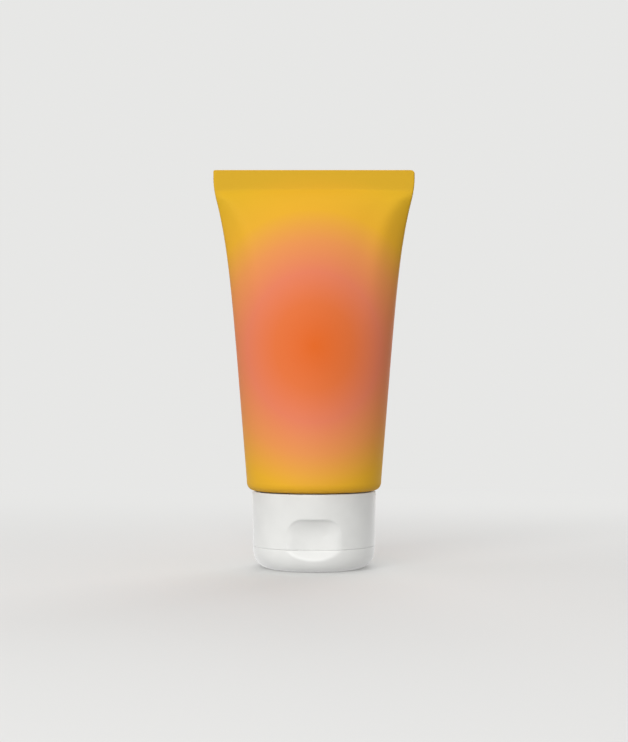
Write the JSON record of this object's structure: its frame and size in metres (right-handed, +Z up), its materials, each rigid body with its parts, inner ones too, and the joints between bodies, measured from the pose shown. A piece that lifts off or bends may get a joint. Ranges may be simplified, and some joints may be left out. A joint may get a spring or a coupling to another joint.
{
  "type": "squeeze tube with flip-top cap",
  "caption": "Plastic squeeze tube with a flat end seal, standing on a white screw-on flip-top cap with a thumb recess, for dispensing lotion.",
  "frame": {"origin": "centre of the closed lid's resting face, where the tube's axis meets the surface it stands on", "axes": "+Z up the tube's axis from the lid to the end seal, -Y towards the thumb recess at the front, +Y towards the hinge at the back, X along the end seal"},
  "size_m": [0.0678, 0.045, 0.1332],
  "materials": {
    "printed_sleeve": "satin, colour blended from yellow edges through coral to an orange middle",
    "natural_head_plastic": "natural, faintly milky, moulded",
    "foam_gasket": "fine closed-cell foam, matt",
    "white_cap_plastic": "smooth moulded, soft gloss"
  },
  "bodies": {
    "cap": {"cap_base": "white_cap_plastic", "hinge_web": "white_cap_plastic", "hinge_strap_left": "white_cap_plastic", "hinge_strap_right": "white_cap_plastic"},
    "lid": {"flip_lid": "white_cap_plastic"},
    "gasket": {"gasket_ring": "foam_gasket"},
    "tube": {"tube_sleeve": "printed_sleeve", "tube_head": "natural_head_plastic"}
  },
  "joints": [
    {"name": "lid_hinge", "type": "hinge", "parent": "cap", "child": "lid", "pos_m": [0, 0.0211, 0.00745], "axis": [1, 0, 0], "range_deg": [0, 180], "deforming": ["hinge_web", "hinge_strap_left", "hinge_strap_right"]},
    {"name": "tube_lift", "type": "slide", "parent": "cap", "child": "gasket", "axis": [0, 0, 1], "range_m": [0, 0.015]},
    {"name": "tube_turn", "type": "hinge", "parent": "gasket", "child": "tube", "pos_m": [0, 0, 0.0107], "axis": [0, 0, 1], "range_deg": [0, 1800]}
  ],
  "couplings": [
    {"joint": "tube_lift", "follows": "tube_turn", "m_per_rad": 0.00047746}
  ]
}
